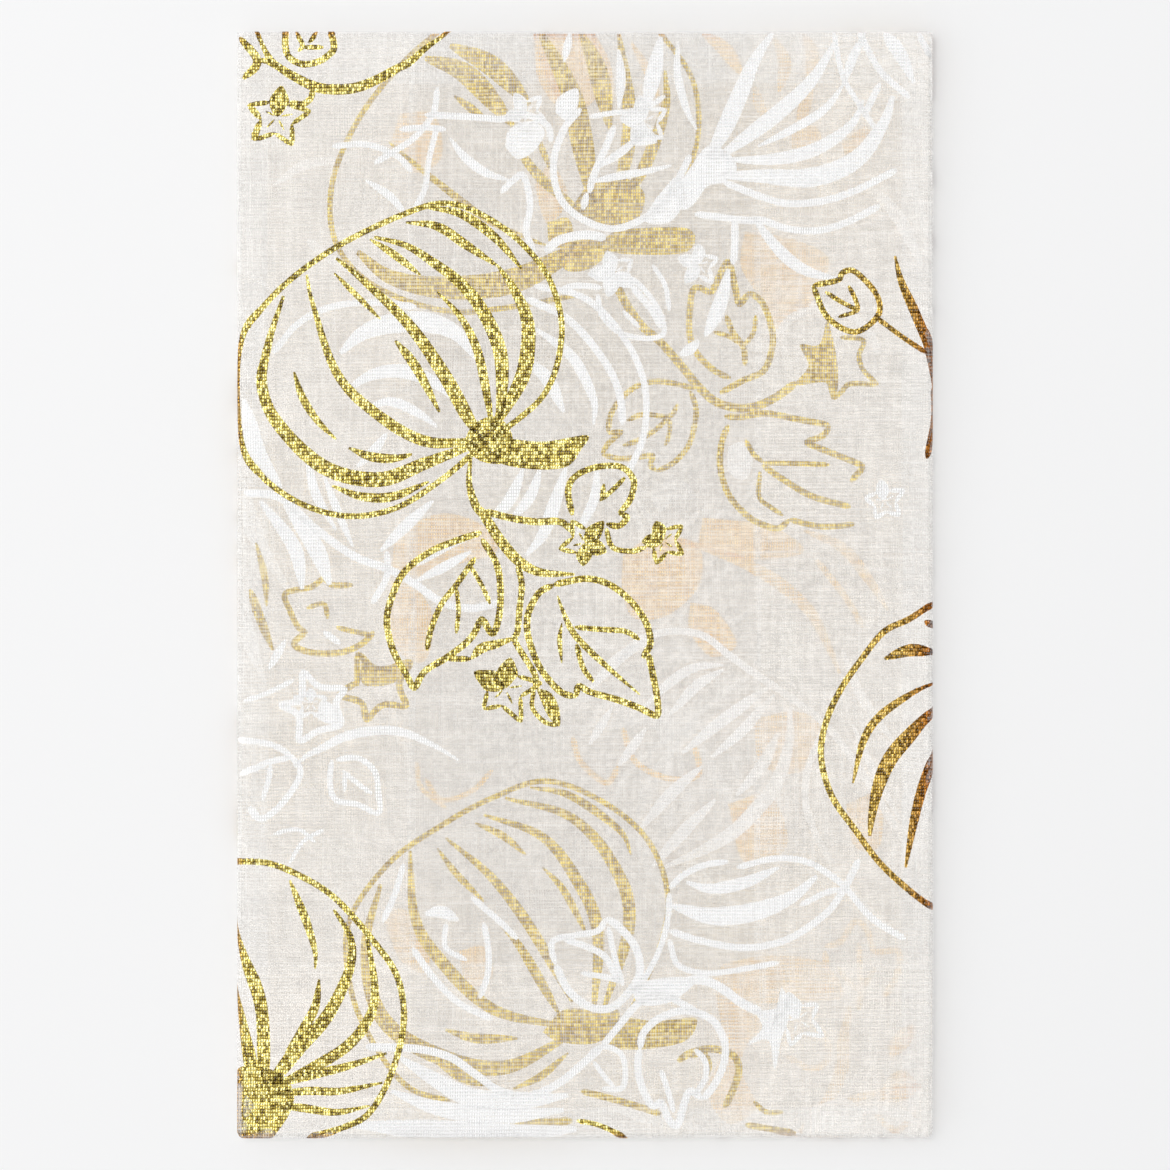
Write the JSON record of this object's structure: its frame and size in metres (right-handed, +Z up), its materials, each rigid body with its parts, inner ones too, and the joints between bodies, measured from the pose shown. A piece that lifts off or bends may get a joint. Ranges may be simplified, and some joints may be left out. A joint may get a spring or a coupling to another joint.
{
  "type": "gift bag",
  "caption": "Lined sheer fabric gift bag with gusseted sides and base, pressed flat; a gold foil pumpkin vine print shows through its layers.",
  "frame": {"origin": "on the surface that the flat bag lies on, below the middle of its outline", "axes": "+X across the bag to the right as seen from the front, +Y from the base fold to the mouth, +Z up out of the front wall"},
  "size_m": [0.165, 0.2624, 0.0078],
  "materials": {
    "outer_cloth": "sheer plain-weave polyester with a gold foil print",
    "lining_cloth": "the same sheer cloth, gold side inwards",
    "interlining_cloth": "the same sheer cloth turned over, so that its print shows white",
    "seam_thread": "fine twisted polyester thread",
    "gold_foil": "transferred gold foil, broken up by the weave",
    "white_reverse": "the white back of the foil print, seen through the cloth"
  },
  "bodies": {
    "back_wall": {"back_bottom_seam_allowance": "outer_cloth", "back_bottom_seam_thread": "seam_thread", "back_interlining": "interlining_cloth", "back_left_seam_allowance": "outer_cloth", "back_left_seam_thread": "seam_thread", "back_lining": "lining_cloth", "back_mouth_hem": "outer_cloth", "back_outer": "outer_cloth", "back_right_seam_allowance": "outer_cloth", "back_right_seam_thread": "seam_thread"},
    "left_rear": {"left_rear_lining": "lining_cloth", "left_rear_mouth_hem": "outer_cloth", "left_rear_outer": "outer_cloth"},
    "left_fore": {"left_fore_lining": "lining_cloth", "left_fore_mouth_hem": "outer_cloth", "left_fore_outer": "outer_cloth"},
    "right_rear": {"right_rear_lining": "lining_cloth", "right_rear_mouth_hem": "outer_cloth", "right_rear_outer": "outer_cloth"},
    "right_fore": {"right_fore_lining": "lining_cloth", "right_fore_mouth_hem": "outer_cloth", "right_fore_outer": "outer_cloth"},
    "bottom_rear": {"bottom_rear_lining": "lining_cloth", "bottom_rear_outer": "outer_cloth"},
    "bottom_fore": {"bottom_fore_lining": "lining_cloth", "bottom_fore_outer": "outer_cloth"},
    "front_wall": {"front_bottom_seam_allowance": "outer_cloth", "front_bottom_seam_thread": "seam_thread", "front_interlining": "interlining_cloth", "front_left_seam_allowance": "outer_cloth", "front_left_seam_thread": "seam_thread", "front_lining": "lining_cloth", "front_mouth_hem": "outer_cloth", "front_outer": "outer_cloth", "front_right_seam_allowance": "outer_cloth", "front_right_seam_thread": "seam_thread"}
  },
  "joints": [
    {"name": "left_side_fold", "type": "hinge", "parent": "back_wall", "child": "left_rear", "pos_m": [-0.0823, 0, 0.0014], "axis": [0, -1, 0], "range_deg": [0, 90]},
    {"name": "left_side_crease", "type": "hinge", "parent": "left_rear", "child": "left_fore", "pos_m": [-0.0413, 0, 0.0039], "axis": [0, 1, 0], "range_deg": [0, 180]},
    {"name": "front_left_fold", "type": "hinge", "parent": "left_fore", "child": "front_wall", "pos_m": [-0.0823, 0, 0.0064], "axis": [0, -1, 0], "range_deg": [0, 90]},
    {"name": "right_side_fold", "type": "hinge", "parent": "back_wall", "child": "right_rear", "pos_m": [0.0823, 0, 0.0014], "axis": [0, 1, 0], "range_deg": [0, 90]},
    {"name": "right_side_crease", "type": "hinge", "parent": "right_rear", "child": "right_fore", "pos_m": [0.0413, 0, 0.0039], "axis": [0, -1, 0], "range_deg": [0, 180]},
    {"name": "bottom_fold", "type": "hinge", "parent": "back_wall", "child": "bottom_rear", "pos_m": [0, -0.13105, 0.0014], "axis": [1, 0, 0], "range_deg": [0, 90]},
    {"name": "bottom_crease", "type": "hinge", "parent": "bottom_rear", "child": "bottom_fore", "pos_m": [0, -0.09005, 0.0039], "axis": [-1, 0, 0], "range_deg": [0, 180]}
  ],
  "couplings": [
    {"joint": "left_side_crease", "follows": "left_side_fold", "ratio": 2},
    {"joint": "front_left_fold", "follows": "left_side_fold", "ratio": 1},
    {"joint": "right_side_fold", "follows": "left_side_fold", "ratio": 1},
    {"joint": "right_side_crease", "follows": "left_side_fold", "ratio": 2},
    {"joint": "bottom_fold", "follows": "left_side_fold", "ratio": 1},
    {"joint": "bottom_crease", "follows": "left_side_fold", "ratio": 2}
  ]
}
